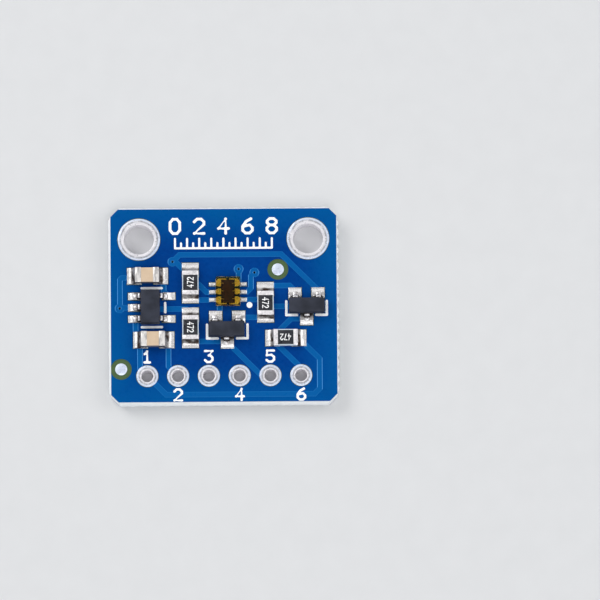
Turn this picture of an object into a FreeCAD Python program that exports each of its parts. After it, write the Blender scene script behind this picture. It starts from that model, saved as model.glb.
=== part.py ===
"""A small light sensor module: a scored blue circuit board with its plated holes, its copper,
ten soldered components and the printed outlines. Millimetres; the origin is the middle of the
underside, +X runs along the board, +Y towards the two mounting holes and +Z out of the side
that carries the components."""

import FreeCAD, Part
import math
import os
from types import SimpleNamespace

import Sketcher
from FreeCAD import Placement, Rotation, Vector

SIZES = {
    # Board
    "board_length": 19.05,
    "board_width": 16.51,
    # Places along X are drawn on a board of this length, and keep their share of it
    "layout_length": 19.05,
    "corner_cut": 1.0,
    "laminate_thickness": 1.51,
    "score_reach": 0.19,
    "score_depth": 0.45,
    "mask_thickness": 0.045,
    "mask_over_copper": 0.02,
    "mask_clearance": 0.05,
    "copper_thickness": 0.045,
    # Plated holes: each ring is the bare metal round its hole
    "plating_thickness": 0.05,
    "mounting_hole": 2.5,
    "mounting_ring": 3.5,
    "mounting_end_inset": 2.54,
    "mounting_inset": 2.71,
    "header_hole": 1.0,
    "header_ring": 1.8,
    "header_pitch": 2.54,
    "header_inset": 2.37,
    "via_hole": 0.3,
    "via_ring": 0.68,
    "via_1_x": -4.22,
    "via_1_y": 3.66,
    "via_2_x": 1.24,
    "via_2_y": 3.02,
    "via_3_x": 2.54,
    "via_3_y": 2.72,
    "via_4_x": -8.6,
    "via_4_y": -0.21,
    # Fiducials: the camera marks that the assembly machine looks for
    "fiducial_dot": 1.0,
    "fiducial_opening": 1.75,
    "fiducial_upper_x": 4.48,
    "fiducial_upper_y": 2.97,
    "fiducial_lower_end_inset": 1.025,
    "fiducial_lower_y": -5.3,
    # Tracks: the straight runs that the others turn off. The right one takes its share of the room
    # between the last ring and the board's end
    "track_width": 0.32,
    "upper_track_y": 4.24,
    "lower_track_y": -7.45,
    "left_track_x": -8.57,
    "right_track_share": 0.277,
    "inner_track_x": -1.75,
    "via_3_track_x": 2.25,
    "crossing_track_y": -0.13,
    # Solder
    "solder_film": 0.04,
    "solder_edge": 0.06,
    "solder_hollow": 0.3,
    # Pads and terminals shared by the resistors and the capacitors
    "chip_pad_reach": 3.38,
    "chip_pad_length": 1.2,
    "chip_pad_width": 1.38,
    "resistor_length": 2.0,
    "resistor_width": 1.34,
    "resistor_height": 0.5,
    "resistor_cap_top": 0.36,
    "resistor_cap_bottom": 0.42,
    "resistor_cap_thickness": 0.04,
    "resistor_coat_width": 1.18,
    "resistor_coat_thickness": 0.055,
    "resistor_solder_height": 0.34,
    "capacitor_length": 2.0,
    "capacitor_width": 1.25,
    "capacitor_height": 0.85,
    "capacitor_cap_reach": 0.5,
    "capacitor_cap_thickness": 0.03,
    "capacitor_bevel": 0.04,
    "capacitor_solder_height": 0.5,
    # Where each chip's pads are centred, and how far the chip sits off that centre
    "resistor_1_x": -2.75,
    "resistor_1_y": 1.87,
    "resistor_1_slip": -0.03,
    "resistor_2_x": -2.76,
    "resistor_2_pad_gap": 0.36,
    "resistor_2_slip": -0.02,
    "resistor_3_x": 3.445,
    "resistor_3_y": 0.22,
    "resistor_3_slip": -0.12,
    "resistor_4_x": 5.1,
    "resistor_4_y": -2.78,
    "resistor_4_slip": -0.01,
    "capacitor_1_x": -6.29,
    "capacitor_1_y": 2.47,
    "capacitor_1_slip": -0.035,
    "capacitor_2_x": -5.8,
    "capacitor_2_y": -2.87,
    "capacitor_2_slip": -0.07,
    # Five-legged voltage regulator: width is across the two rows of leads
    "regulator_x": -5.95,
    "regulator_y": -0.17,
    "regulator_slip": -0.12,
    "regulator_drift": -0.03,
    "regulator_body_width": 1.6,
    "regulator_body_length": 2.9,
    "regulator_body_height": 1.05,
    "regulator_stand_off": 0.08,
    "regulator_span": 2.8,
    "regulator_knee": 0.22,
    "regulator_lead_width": 0.4,
    "regulator_lead_thickness": 0.15,
    "regulator_pitch": 0.95,
    "regulator_pad_reach": 3.9,
    "regulator_pad_length": 1.1,
    "regulator_pad_width": 0.6,
    # Three-legged transistors
    "transistor_1_x": 0.275,
    "transistor_1_y": -2.055,
    "transistor_1_slip": -0.035,
    "transistor_1_drift": 0.06,
    "transistor_2_x": 6.83,
    "transistor_2_y": -0.145,
    "transistor_2_slip": -0.02,
    "transistor_2_drift": -0.03,
    "transistor_body_width": 1.3,
    "transistor_body_length": 2.96,
    "transistor_body_height": 0.95,
    "transistor_stand_off": 0.07,
    "transistor_span": 2.42,
    "transistor_knee": 0.2,
    "transistor_lead_width": 0.42,
    "transistor_lead_thickness": 0.13,
    "transistor_pitch": 1.9,
    "transistor_pad_reach": 3.15,
    "transistor_pad_length": 1.0,
    "transistor_pad_width": 1.08,
    # Moulded bodies and bent leads
    "mould_draft": 7.0,
    "mould_bevel": 0.05,
    "lead_root": 0.25,
    "lead_shank_run": 0.08,
    "lead_bend": 0.05,
    # Light sensor in its clear moulding
    "sensor_x": 0.35,
    "sensor_y": 1.1,
    "sensor_width": 2.0,
    "sensor_length": 2.4,
    "sensor_height": 0.65,
    "sensor_bevel": 0.04,
    "sensor_frame_thickness": 0.15,
    "sensor_finger_spacing": 0.65,
    "sensor_finger_width": 0.46,
    "sensor_finger_tip": 0.22,
    "sensor_finger_length": 0.44,
    "sensor_bar_width": 0.09,
    "sensor_bar_inset": 0.12,
    "sensor_paddle_width": 1.0,
    "sensor_paddle_length": 1.96,
    "sensor_die_width": 0.82,
    "sensor_die_length": 1.78,
    "sensor_die_thickness": 0.2,
    "sensor_wire": 0.035,
    "sensor_wire_rise": 0.1,
    "sensor_pad_reach": 3.1,
    "sensor_pad_length": 0.95,
    "sensor_pad_width": 0.3,
    "sensor_solder_height": 0.1,
    # Printed ink
    "ink_width": 0.2,
    "ink_thickness": 0.035,
    "pin_dot": 0.49,
    "pin_dot_x": 2.12,
    "pin_dot_y": 0.0,
    "regulator_ink_across": 1.63,
    "regulator_ink_half_length": 0.82,
    "regulator_ink_side": 1.11,
    "regulator_ink_side_half": 0.38,
    "bracket_half_length": 1.67,
    "bracket_top": 0.42,
    "bracket_bottom": -0.72,
    "bracket_opening": 0.8,
}

doc = FreeCAD.newDocument("LightSensorModule")
sheet = doc.addObject("Spreadsheet::Sheet", "Sizes")
for row, (name, number) in enumerate(SIZES.items(), start=1):
    sheet.set(f"A{row}", name.replace("_", " "))
    sheet.set(f"B{row}", str(number))
    sheet.setAlias(f"B{row}", name)
doc.recompute()


class Size:
    """A size of the sheet, or one worked out from several: its number, and the words that bind
    a property or a constraint to the sheet."""

    def __init__(self, words, number):
        self.words = words
        self.number = number

    def __float__(self):
        return self.number

    def __add__(self, other):
        other = as_size(other)
        return Size(f"({self.words} + {other.words})", self.number + other.number)

    def __sub__(self, other):
        other = as_size(other)
        return Size(f"({self.words} - {other.words})", self.number - other.number)

    def __mul__(self, other):
        other = as_size(other)
        return Size(f"({self.words} * {other.words})", self.number * other.number)

    def __truediv__(self, other):
        other = as_size(other)
        return Size(f"({self.words} / {other.words})", self.number / other.number)

    def __neg__(self):
        return Size(f"(0 - {self.words})", -self.number)


def as_size(length):
    return length if isinstance(length, Size) else Size(str(length), float(length))


table = {name: Size(f"Sizes.{name}", float(sheet.get(name))) for name in SIZES}
for name in SIZES:
    if name.endswith("_x"):
        table[name] = table[name] * table["board_length"] / table["layout_length"]
# Two of the resistors stand end to end, so the lower one's place follows from the upper one's
table["resistor_2_y"] = table["resistor_1_y"] - table["chip_pad_reach"] - table["resistor_2_pad_gap"]
size = SimpleNamespace(**table)
zero = Size("0", 0.0)

# Levels: the underside of the mask is at zero
laminate_bottom = size.mask_thickness
laminate_top = laminate_bottom + size.laminate_thickness
mask_top = laminate_top + size.mask_thickness
pad_top = laminate_top + size.copper_thickness
half_length = size.board_length / 2
half_width = size.board_width / 2
mounting_y = half_width - size.mounting_inset
header_y = size.header_inset - half_width
fiducial_lower_x = size.fiducial_lower_end_inset - half_length
HEADER_HOLES = 6
VIAS = 4
VIA_SIDES = 12

# Document helpers

nodes = []


def bind(thing, path, length):
    """Tie a property to the sheet."""
    thing.setExpression(path, as_size(length).words)


def place(thing, x, y, z, turn=0):
    """Stand an object on the board, turned by whole degrees about its upright axis."""
    thing.Placement = Placement(Vector(float(x), float(y), float(z)), Rotation(Vector(0, 0, 1), turn))
    bind(thing, "Placement.Base.x", x)
    bind(thing, "Placement.Base.y", y)
    bind(thing, "Placement.Base.z", z)


def new_body(label, x=zero, y=zero, z=zero, turn=0):
    body = doc.addObject("PartDesign::Body", label)
    place(body, x, y, z, turn)
    return body


def keep(thing, label):
    """Name a finished sub-part and list it for the export."""
    thing.Label = label
    nodes.append(thing)
    return thing


def origin_part(body, role):
    return next(part for part in body.Origin.OriginFeatures if part.Role == role)


def new_sketch(body, role, lift=None):
    sketch = body.newObject("Sketcher::SketchObject", f"{body.Name}_sketch")
    sketch.AttachmentSupport = [(origin_part(body, role), "")]
    sketch.MapMode = "FlatFace"
    if lift is not None:
        bind(sketch, "AttachmentOffset.Base.z", lift)
    return sketch


def hold_point(sketch, edge, end, x, y):
    """Hold one point of an edge at a place that the sheet gives."""
    for kind, length in (("DistanceX", as_size(x)), ("DistanceY", as_size(y))):
        constraint = Sketcher.Constraint(kind, -1, 1, edge, end, length.number)
        number = sketch.addConstraint(constraint)
        bind(sketch, f"Constraints[{number}]", length)


def end_near(sketch, edge, point):
    """Which end of an edge, 1 or 2, lies at a point: a sketch may store an arc reversed."""
    return min((1, 2), key=lambda end: sketch.getPoint(edge, end).distanceToPoint(point))


def draw_outline(sketch, corners, curves=None):
    """Draw a closed outline. Edge number k runs from corner k to the next, and is an arc through
    curves[k] where that is given."""
    curves = curves or {}
    points = [Vector(float(x), float(y), 0) for x, y in corners]
    count = len(points)
    edges = []
    for k, start in enumerate(points):
        end = points[(k + 1) % count]
        if k in curves:
            middle = Vector(float(curves[k][0]), float(curves[k][1]), 0)
            edges.append(sketch.addGeometry(Part.Arc(start, middle, end)))
        else:
            edges.append(sketch.addGeometry(Part.LineSegment(start, end)))
    for k, edge in enumerate(edges):
        following = edges[(k + 1) % count]
        corner = points[(k + 1) % count]
        sketch.addConstraint(Sketcher.Constraint(
            "Coincident", edge, end_near(sketch, edge, corner),
            following, end_near(sketch, following, corner)))
    for k, edge in enumerate(edges):
        hold_point(sketch, edge, end_near(sketch, edge, points[k]), *corners[k])
        if k in curves:
            middle = Vector(float(curves[k][0]), float(curves[k][1]), 0)
            marker = sketch.addGeometry(Part.Point(middle), True)
            sketch.addConstraint(Sketcher.Constraint("PointOnObject", marker, 1, edge))
            hold_point(sketch, marker, 1, *curves[k])


def draw_box(sketch, x_low, y_low, x_high, y_high):
    draw_outline(sketch, [(x_low, y_low), (x_high, y_low), (x_high, y_high), (x_low, y_high)])


def draw_circle(sketch, x, y, diameter):
    radius = as_size(diameter) / 2
    circle = Part.Circle(Vector(float(x), float(y), 0), Vector(0, 0, 1), radius.number)
    edge = sketch.addGeometry(circle)
    hold_point(sketch, edge, 3, x, y)
    number = sketch.addConstraint(Sketcher.Constraint("Radius", edge, radius.number))
    bind(sketch, f"Constraints[{number}]", radius)


def pad(body, sketch, length, both_ways=False, downwards=False, draft=None):
    feature = body.newObject("PartDesign::Pad", f"{body.Name}_pad")
    feature.Profile = sketch
    feature.Midplane = both_ways
    feature.Reversed = downwards
    bind(feature, "Length", length)
    if draft is not None:
        bind(feature, "TaperAngle", -draft)
    doc.recompute()
    body.Tip = feature
    return feature


def cut_through(body, sketch):
    """Cut a sketch's outlines right through the body, both ways from the sketch."""
    before = body.Shape.Volume
    feature = body.newObject("PartDesign::Pocket", f"{body.Name}_cut")
    feature.Profile = sketch
    feature.Type = "ThroughAll"
    feature.Midplane = True
    doc.recompute()
    body.Tip = feature
    if body.Shape.Volume >= before:
        raise RuntimeError(f"{feature.Name} removed nothing")
    return feature


def dress_edges(body, kind, measure, amount, chosen):
    base = body.Tip
    names = [f"Edge{k}" for k, edge in enumerate(base.Shape.Edges, start=1) if chosen(edge)]
    feature = body.newObject(f"PartDesign::{kind}", f"{body.Name}_{kind}")
    feature.Base = (base, names)
    bind(feature, measure, amount)
    doc.recompute()
    body.Tip = feature


def round_edges(body, radius, chosen):
    """Fillet the edges of the body that the test chosen picks."""
    dress_edges(body, "Fillet", "Radius", radius, chosen)


def bevel_edges(body, depth, chosen):
    """Chamfer the edges of the body that the test chosen picks."""
    dress_edges(body, "Chamfer", "Size", depth, chosen)


def cut_by(label, base, tool):
    """The base less the tool, as a boolean of the document."""
    result = doc.addObject("Part::Cut", f"{label}_cut")
    result.Base = base
    result.Tool = tool
    doc.recompute()
    return result


# Board: octagonal laminate, broken out of its panel along a V-shaped score on each straight edge

def board_corners(inset):
    """The outline with its straight edges moved in by inset: the corner cuts stay where they are."""
    x = half_length - inset
    y = half_width - inset
    reach = size.corner_cut - inset * 2
    corners = []
    for along, across, steep_first in ((1, -1, False), (1, 1, True), (-1, 1, False), (-1, -1, True)):
        on_side = (x * along, (y - reach) * across)
        on_end = ((x - reach) * along, y * across)
        corners += [on_side, on_end] if steep_first else [on_end, on_side]
    return corners


def holes_through_board():
    """Every plated hole: its name, its place, its finished bore and its ring."""
    holes = []
    for hand, side in (("left", -1), ("right", 1)):
        x = (half_length - size.mounting_end_inset) * side
        holes.append((f"mounting_plating_{hand}", x, mounting_y, size.mounting_hole, size.mounting_ring))
    for k in range(HEADER_HOLES):
        x = size.header_pitch * (k - (HEADER_HOLES - 1) / 2)
        holes.append((f"header_plating_{k + 1}", x, header_y, size.header_hole, size.header_ring))
    for k in range(1, VIAS + 1):
        x, y = table[f"via_{k}_x"], table[f"via_{k}_y"]
        holes.append((f"via_{k}", x, y, size.via_hole, size.via_ring))
    return holes


def polygon(x, y, across, sides):
    """The corners of a regular polygon, with a flat on each axis, from its width across corners."""
    angles = [(k + 0.5) * 2 * math.pi / sides for k in range(sides)]
    reach = across / 2
    return [(x + reach * round(math.cos(angle), 6), y + reach * round(math.sin(angle), 6))
            for angle in angles]


def draw_hole(sketch, label, x, y, across):
    """Draw the edge of a hole: the small vias have flat sides."""
    if label.startswith("via"):
        draw_outline(sketch, polygon(x, y, across, VIA_SIDES))
    else:
        draw_circle(sketch, x, y, across)


def score_cuts(body, role, edge_place):
    """Cut the four V grooves, upper and lower, that run along one direction of the board."""
    sketch = new_sketch(body, role)
    for side in (1, -1):
        outer = edge_place * side
        inner = (edge_place - size.score_reach) * side
        beyond = (edge_place + size.score_reach) * side
        top = size.laminate_thickness
        upper = top - size.score_depth
        draw_outline(sketch, [(inner, top), (outer, upper), (beyond, upper),
                              (beyond, top + size.score_reach), (inner, top + size.score_reach)])
        lower = size.score_depth
        draw_outline(sketch, [(inner, zero), (outer, lower), (beyond, lower),
                              (beyond, -size.score_reach), (inner, -size.score_reach)])
    cut_through(body, sketch)


def make_laminate():
    body = new_body("laminate", z=laminate_bottom)
    sketch = new_sketch(body, "XY_Plane")
    draw_outline(sketch, board_corners(zero))
    pad(body, sketch, size.laminate_thickness)
    score_cuts(body, "XZ_Plane", half_length)
    score_cuts(body, "YZ_Plane", half_width)
    drilling = new_sketch(body, "XY_Plane")
    for label, x, y, bore, _ in holes_through_board():
        draw_hole(drilling, label, x, y, bore + size.plating_thickness * 2)
    cut_through(body, drilling)
    return keep(body, "board_laminate")


def make_lower_mask():
    """The underside's coat of mask, open round every plated hole."""
    body = new_body("lower_mask")
    sketch = new_sketch(body, "XY_Plane")
    draw_outline(sketch, board_corners(size.score_reach))
    for label, x, y, _, ring in holes_through_board():
        draw_hole(sketch, label, x, y, ring + size.mask_clearance * 2)
    pad(body, sketch, size.mask_thickness)
    return keep(body, "solder_mask_bottom")


def make_plating(label, x, y, bore, ring):
    """A plated hole: a barrel through the laminate with a ring on each face, turned about its axis."""
    body = new_body(f"{label}_turned", x, y, laminate_bottom)
    sketch = new_sketch(body, "XZ_Plane")
    inner = bore / 2
    barrel = inner + size.plating_thickness
    rim = ring / 2
    top = size.laminate_thickness
    draw_outline(sketch, [
        (inner, -size.copper_thickness), (rim, -size.copper_thickness), (rim, zero), (barrel, zero),
        (barrel, top), (rim, top), (rim, top + size.copper_thickness), (inner, top + size.copper_thickness)])
    turned = body.newObject("PartDesign::Revolution", f"{label}_revolution")
    turned.Profile = sketch
    turned.ReferenceAxis = (sketch, ["V_Axis"])
    turned.Angle = 360
    doc.recompute()
    body.Tip = turned
    return keep(body, label)


def make_via(label, x, y, bore, ring):
    """A small plated hole with flat sides: a barrel and a ring on each face of the laminate."""
    body = new_body(f"{label}_barrel", x, y, laminate_bottom)
    barrel = bore + size.plating_thickness * 2
    for across, level, height in ((barrel, zero, size.laminate_thickness),
                                  (ring, size.laminate_thickness, size.copper_thickness),
                                  (ring, -size.copper_thickness, size.copper_thickness)):
        sketch = new_sketch(body, "XY_Plane", level)
        draw_outline(sketch, polygon(zero, zero, across, VIA_SIDES))
        draw_outline(sketch, polygon(zero, zero, bore, VIA_SIDES))
        pad(body, sketch, height)
    return keep(body, label)


def make_fiducial(label, x, y):
    body = new_body(f"{label}_disc", x, y, laminate_top)
    sketch = new_sketch(body, "XY_Plane")
    draw_circle(sketch, zero, zero, size.fiducial_dot)
    pad(body, sketch, size.copper_thickness)
    return keep(body, label)


# Copper: the pads of every component, and the tracks between them

pads = {}


def add_pad(name, x, y, length, width, part_x=zero, part_y=zero, turn=0):
    """Note a pad, given about its component's own place, as a rectangle on the board."""
    middle = Rotation(Vector(0, 0, 1), turn).multVec(Vector(float(x), float(y), 0))
    if turn % 180:
        length, width = width, length
    pads[name] = SimpleNamespace(
        x=float(part_x) + middle.x, y=float(part_y) + middle.y,
        half_x=float(length) / 2, half_y=float(width) / 2)


def note_pads():
    """Chips have pad a at the upper or right end. Moulded parts have row a on their own +X side."""
    chip_middle = (size.chip_pad_reach - size.chip_pad_length) / 2
    chips = [(f"resistor_{k}", 90 if k < 4 else 0) for k in (1, 2, 3, 4)]
    chips += [(f"capacitor_{k}", 0) for k in (1, 2)]
    for name, turn in chips:
        x, y = table[f"{name}_x"], table[f"{name}_y"]
        for end, side in (("a", 1), ("b", -1)):
            add_pad(f"{name}_{end}", chip_middle * side, zero,
                    size.chip_pad_length, size.chip_pad_width, x, y, turn)
    for name, family, turn, rows in MOULDED_PARTS:
        x, y = table[f"{name}_x"], table[f"{name}_y"]
        reach, length = table[f"{family}_pad_reach"], table[f"{family}_pad_length"]
        middle = (reach - length) / 2
        for (row, side), steps in zip((("a", 1), ("b", -1)), rows):
            for k, step in enumerate(steps, start=1):
                along = table[f"{family}_pitch"] * step
                add_pad(f"{name}_{row}{k}", middle * side, along, length,
                        table[f"{family}_pad_width"], x, y, turn)
    sensor_middle = (size.sensor_pad_reach - size.sensor_pad_length) / 2
    for row, side in (("a", 1), ("b", -1)):
        for k, step in enumerate((-1, 0, 1), start=1):
            add_pad(f"sensor_{row}{k}", sensor_middle * side, size.sensor_finger_spacing * step,
                    size.sensor_pad_length, size.sensor_pad_width, size.sensor_x, size.sensor_y)


# Name, family of sizes, turn, and the leads of rows a and b in steps of the pitch
MOULDED_PARTS = [
    ("regulator", "regulator", 0, ((-1, 1), (-1, 0, 1))),
    ("transistor_1", "transistor", 90, ((-0.5, 0.5), (0,))),
    ("transistor_2", "transistor", 90, ((-0.5, 0.5), (0,))),
]


def spot(name, right=0.0, up=0.0):
    """A point of a pad, as shares of its half sides from its middle, or the middle of a hole."""
    if name in pads:
        found = pads[name]
        return Vector(found.x + right * found.half_x, found.y + up * found.half_y, 0)
    x, y = next((x, y) for label, x, y, _, _ in holes_through_board() if label == name)
    return Vector(float(x), float(y), 0)


def straight_then_slant(start, end):
    """Where a track that sets off straight turns by 45 degrees to reach its end."""
    run = end - start
    slant = min(abs(run.x), abs(run.y))
    return end - Vector(math.copysign(slant, run.x), math.copysign(slant, run.y), 0)


def slant_then_straight(start, end):
    return straight_then_slant(end, start)


def routes():
    """The middle line of every track: each runs straight, or at 45 degrees, from point to point."""
    upper, lower = float(size.upper_track_y), float(size.lower_track_y)
    left = float(size.left_track_x)
    last_ring = spot(f"header_plating_{HEADER_HOLES}").x + float(size.header_ring) / 2
    right = last_ring + (float(half_length) - last_ring) * float(size.right_track_share)
    inner, crossing = float(size.inner_track_x), float(size.crossing_track_y)
    width = float(size.track_width)
    lines = []

    def join(start, end, turn):
        lines.append([start, turn(start, end), end])

    start, end = spot("via_1"), spot("transistor_2_a1", -0.2, 0.8)
    rise = upper - start.y
    on_rail = Vector(start.x + rise, upper, 0)
    lines.append([start, on_rail, straight_then_slant(on_rail, end), end])
    join(start, spot("resistor_1_a", -0.5, -0.3), straight_then_slant)

    start, end = spot("capacitor_1_b", -0.5, -0.2), spot("via_4")
    drop = (start.x - float(size.chip_pad_length) / 2 - left) / 2
    lines.append([start, Vector(left + drop, start.y, 0), Vector(left, start.y - drop, 0),
                  Vector(left, end.y, 0)])
    join(end, spot("regulator_b2"), slant_then_straight)
    join(spot("via_2"), spot("sensor_a3"), straight_then_slant)

    start, end = spot("via_3"), spot("sensor_a2")
    shaft = Vector(float(size.via_3_track_x), start.y, 0)
    shaft_top = slant_then_straight(start, Vector(shaft.x, end.y, 0))
    lines.append([start, shaft_top, Vector(shaft.x, end.y + width, 0),
                  Vector(shaft.x - width, end.y, 0), end])

    start, end = spot("resistor_1_a", 0, -2.0), spot("sensor_b2")
    lines.append([start, Vector(inner - width, start.y, 0), Vector(inner, start.y - width, 0),
                  Vector(inner, end.y + width, 0), Vector(inner + width, end.y, 0), end])
    join(spot("resistor_1_b"), spot("sensor_b1"), slant_then_straight)
    join(spot("sensor_b1", 0.8), spot("transistor_1_a2", 0.3), straight_then_slant)
    join(spot("regulator_b2", 0.0, -0.4), spot("resistor_2_a", -0.3, 0.6), straight_then_slant)
    join(spot("resistor_2_b", 0.0, -0.1), spot("transistor_1_b1", -0.2, 0.0), straight_then_slant)
    join(spot("transistor_1_b1", 0.6, -0.6), spot("header_plating_5"), slant_then_straight)
    join(spot("transistor_1_a1", 0.3, -0.1), spot("resistor_3_b", -0.3, -0.3), straight_then_slant)
    join(spot("resistor_3_a", 0.5, 0.5), spot("transistor_2_a2", -0.4, 0.9), straight_then_slant)

    start, end = spot("sensor_a1"), spot("transistor_2_b1", -0.2, 0.6)
    drop = start.y - crossing
    middle = spot("resistor_3_a").x
    dive = Vector(middle - drop, start.y, 0)
    level = Vector(middle, crossing, 0)
    lines.append([start, dive, level, straight_then_slant(level, end), end])
    join(spot("transistor_2_b1", 0.0, 0.1), spot("resistor_4_b", 0.1, 0.2), straight_then_slant)

    start, end = spot("resistor_4_a", 0.6, -0.6), spot("header_plating_1")
    turn = Vector(right, start.y - (right - start.x), 0)
    bend = float(size.header_ring) / 4
    lines.append([start, turn, Vector(right, lower + bend, 0), Vector(right - bend, lower, 0),
                  slant_then_straight(end, Vector(right, lower, 0)), end])
    join(spot("capacitor_2_b", -0.1, -0.5), spot("header_plating_1"), straight_then_slant)
    join(spot("capacitor_2_a", 0.2, -0.5), spot("header_plating_2"), straight_then_slant)
    join(spot("regulator_b1", 0.1, 0.0), spot("capacitor_2_b", 0.1, 0.0), straight_then_slant)
    join(spot("capacitor_1_a", 0.4, -0.5), spot("regulator_a2", 0.0, 0.0), straight_then_slant)
    join(spot("resistor_4_b", 0.2, -0.4), spot("header_plating_6"), slant_then_straight)
    return lines


def flat_face(corners):
    return Part.Face(Part.makePolygon(corners + corners[:1]))


def strip(points, width):
    """The faces of a flat strip along a line of points: a straight run from each to the next, and
    an octagon at each, which fills the bends of 45 degrees and blunts the two ends."""
    faces = []
    for start, end in zip(points, points[1:]):
        run = end - start
        if run.Length > width / 20:
            across = Vector(-run.y, run.x, 0).normalize() * (width / 2)
            faces.append(flat_face([start - across, end - across, end + across, start + across]))
    for point in points:
        corners = polygon(point.x, point.y, width / math.cos(math.pi / 8), 8)
        faces.append(flat_face([Vector(x, y, 0) for x, y in corners]))
    return faces


def pad_face(found, growth=0.0):
    half_x, half_y = found.half_x + growth, found.half_y + growth
    low = Vector(found.x - half_x, found.y - half_y, 0)
    return Part.makePlane(2 * half_x, 2 * half_y, low)


def raised(faces, bottom, height):
    """One shape from flat faces at height zero, each stood between two levels."""
    blocks = [face.extrude(Vector(0, 0, height)) for face in faces]
    shape = blocks[0].multiFuse(blocks[1:]).removeSplitter() if len(blocks) > 1 else blocks[0]
    shape.translate(Vector(0, 0, bottom))
    return shape


def column(label, x, y, across, bottom, height):
    """An upright column as wide as a hole or its ring: a via's has flat sides."""
    if label.startswith("via"):
        corners = polygon(float(x), float(y), float(across), VIA_SIDES)
        return flat_face([Vector(*corner, bottom) for corner in corners]).extrude(Vector(0, 0, height))
    return Part.makeCylinder(float(across) / 2, height, Vector(float(x), float(y), bottom))


def make_copper(lines):
    """The etched copper, as far as the rings of the plated holes."""
    base, thick = float(laminate_top), float(size.copper_thickness)
    faces = [face for line in lines for face in strip(line, float(size.track_width))]
    faces += [pad_face(found) for found in pads.values()]
    layer = raised(faces, base, thick)
    layer = layer.cut([column(label, x, y, ring, base, thick)
                       for label, x, y, _, ring in holes_through_board()])
    copper = doc.addObject("Part::Feature", "etched_copper")
    copper.Shape = Part.Compound(layer.Solids)
    return keep(copper, "copper_layer")


def make_upper_mask(copper, lines):
    """The component side's coat of mask: it rises over the tracks and the vias, and is open at
    every pad, ring and fiducial."""
    base, over = float(laminate_top), float(size.mask_over_copper)
    clear, thick = float(size.mask_clearance), float(size.copper_thickness)
    corners = [Vector(float(x), float(y), 0) for x, y in board_corners(size.score_reach)]
    plate = raised([flat_face(corners)], base, float(size.mask_thickness))
    width = float(size.track_width) + 2 * over
    ridges = raised([face for line in lines for face in strip(line, width)], base, thick + over)
    tall = thick + over * 2
    domes, openings = [], []
    for label, x, y, bore, ring in holes_through_board():
        if label.startswith("via"):
            domes.append(column(label, x, y, ring + over * 2, base, thick + over))
            openings.append(column(label, x, y, bore, base, tall))
            openings.append(column(label, x, y, ring, base, thick))
        else:
            openings.append(column(label, x, y, ring + clear * 2, base, tall))
    for x, y in ((size.fiducial_upper_x, size.fiducial_upper_y), (fiducial_lower_x, size.fiducial_lower_y)):
        openings.append(column("fiducial", x, y, size.fiducial_opening, base, tall))
    openings += [raised([pad_face(found, clear)], base, tall) for found in pads.values()]
    coat = plate.multiFuse([ridges] + domes).cut(openings + copper.Shape.Solids).removeSplitter()
    mask = doc.addObject("Part::Feature", "upper_mask")
    mask.Shape = Part.Compound([solid for solid in coat.Solids if solid.Volume > clear ** 3])
    return keep(mask, "solder_mask_top")


# Solder: a film under each terminal and a hollow fillet up its end

def draw_fillet(sketch, inner, end, outer, height, side):
    """The section of one joint, from under the terminal at inner, past its end, to the pad's edge."""
    film, edge, share = size.solder_film, size.solder_edge, size.solder_hollow
    hollow = (end + (outer - end) * share, edge + (height - edge) * share)
    corners = [(inner, zero), (outer, zero), (outer, edge), (end, height), (end, film), (inner, film)]
    draw_outline(sketch, [(x * side, z) for x, z in corners], {2: (hollow[0] * side, hollow[1])})


def make_chip_solder(name, kind, x, y, turn):
    body = new_body(f"{name}_fillets", x, y, pad_top, turn)
    sketch = new_sketch(body, "XZ_Plane")
    half, slip = table[f"{kind}_length"] / 2, table[f"{name}_slip"]
    reach = table["resistor_cap_bottom"] if kind == "resistor" else table["capacitor_cap_reach"]
    for side in (1, -1):
        end = half + slip * side
        draw_fillet(sketch, end - reach, end, size.chip_pad_reach / 2, table[f"{kind}_solder_height"], side)
    pad(body, sketch, size.chip_pad_width, both_ways=True)
    return keep(body, f"{name}_solder")


# Resistors: a ceramic slab, wrapped at each end by a plated cap, with a dark glass coat on top

def chip_place(name, turn):
    """The chip's own place: its pads' middle, moved by its slip along the turned length."""
    x, y, slip = table[f"{name}_x"], table[f"{name}_y"], table[f"{name}_slip"]
    return (x, y + slip) if turn else (x + slip, y)


def make_resistor(name, turn):
    x, y = chip_place(name, turn)
    floor = pad_top + size.solder_film
    half, tall, cap = size.resistor_length / 2, size.resistor_height, size.resistor_cap_thickness

    ceramic = new_body(f"{name}_slab", x, y, floor, turn)
    sketch = new_sketch(ceramic, "XZ_Plane")
    draw_box(sketch, cap - half, cap, half - cap, tall - cap)
    pad(ceramic, sketch, size.resistor_width, both_ways=True)
    keep(ceramic, f"{name}_body")

    caps = new_body(f"{name}_caps", x, y, floor, turn)
    sketch = new_sketch(caps, "XZ_Plane")
    top_end, bottom_end = half - size.resistor_cap_top, half - size.resistor_cap_bottom
    section = [(bottom_end, zero), (half, zero), (half, tall), (top_end, tall), (top_end, tall - cap),
               (half - cap, tall - cap), (half - cap, cap), (bottom_end, cap)]
    for side in (1, -1):
        draw_outline(sketch, [(x * side, z) for x, z in section])
    pad(caps, sketch, size.resistor_width, both_ways=True)
    bevel_edges(caps, cap / 2, lambda edge: is_upright_corner(edge, float(half), float(tall)))
    keep(caps, f"{name}_terminals")

    coat = new_body(f"{name}_glass", x, y, floor, turn)
    sketch = new_sketch(coat, "XY_Plane", tall - cap)
    draw_box(sketch, -top_end, -size.resistor_coat_width / 2, top_end, size.resistor_coat_width / 2)
    pad(coat, sketch, size.resistor_coat_thickness)
    keep(coat, f"{name}_coat")

    make_chip_solder(name, "resistor", table[f"{name}_x"], table[f"{name}_y"], turn)


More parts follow.
